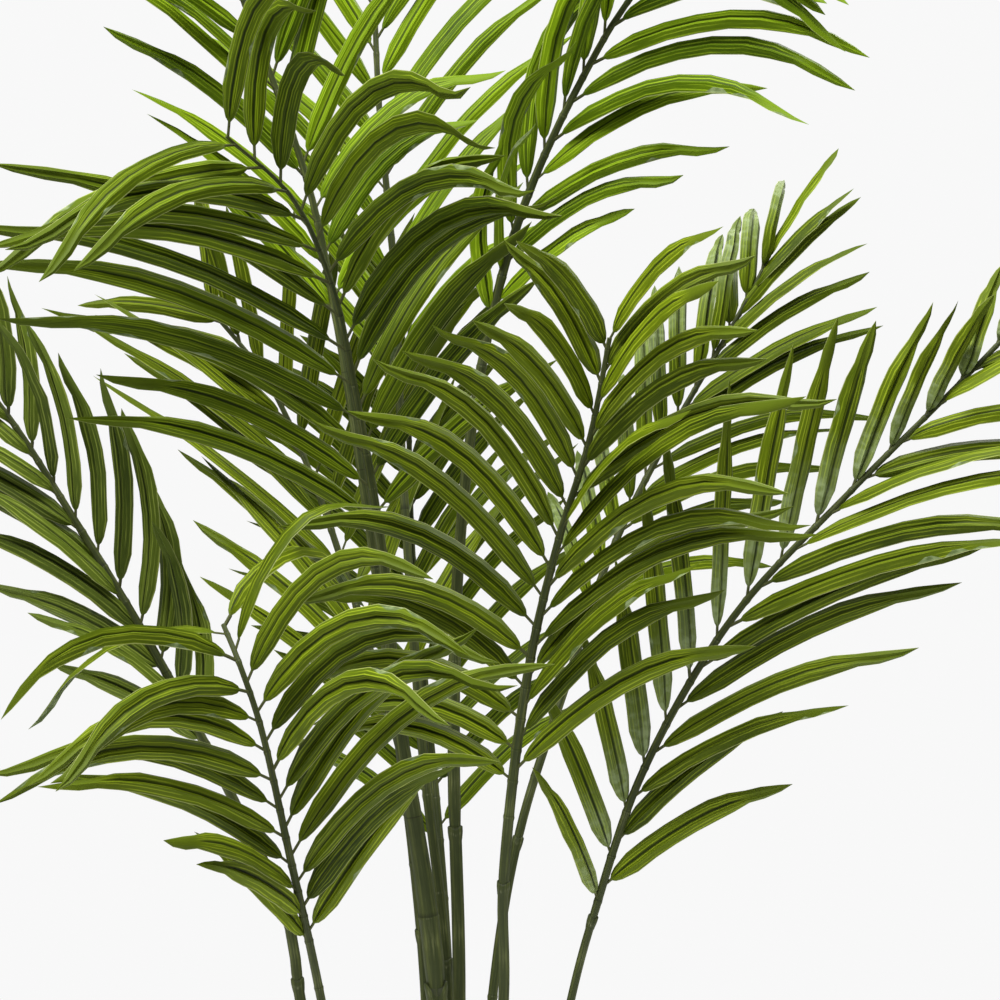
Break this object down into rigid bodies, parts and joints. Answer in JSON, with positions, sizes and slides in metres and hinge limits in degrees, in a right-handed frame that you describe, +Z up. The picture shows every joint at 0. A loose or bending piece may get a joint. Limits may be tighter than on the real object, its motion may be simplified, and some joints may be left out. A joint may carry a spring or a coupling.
{
  "type": "potted palm",
  "caption": "Feather palm with arching, leafy fronds on bare stems, standing in a plain tapered round pot with a moss-covered filling.",
  "frame": {"origin": "centre of the pot's foot, on the surface that it stands on", "axes": "+Z up along the stems; -Y is the plant's front; +X to the right seen from the front"},
  "size_m": [1.1615, 0.7703, 1.8215],
  "materials": {
    "leaf": "satin coated leaf cloth, dark green with fine yellow-green stripes, paler grey-green underneath",
    "stem": "dull olive moulded plastic with joints and flat channels",
    "pot": "plain dark grey moulded plastic, finely grained",
    "filler": "set cement",
    "moss": "dry moss and bark fibre, rough"
  },
  "bodies": {
    "root": {"pot": "pot", "filler": "filler", "moss_layer": "moss", "stem_right_front": "stem", "frond_right_front": "leaf", "stem_left_low": "stem", "frond_left_low": "leaf", "stem_left_tall": "stem", "frond_left_tall": "leaf", "stem_right_low": "stem", "frond_right_low": "leaf", "stem_left_side": "stem", "frond_left_side": "leaf", "stem_top_right": "stem", "frond_top_right": "leaf", "stem_right_back": "stem", "frond_right_back": "leaf", "stem_top_left": "stem", "frond_top_left": "leaf", "stem_left_back": "stem", "frond_left_back": "leaf", "stem_top_centre": "stem", "frond_top_centre": "leaf", "stem_back": "stem", "frond_back": "leaf"}
  },
  "joints": []
}
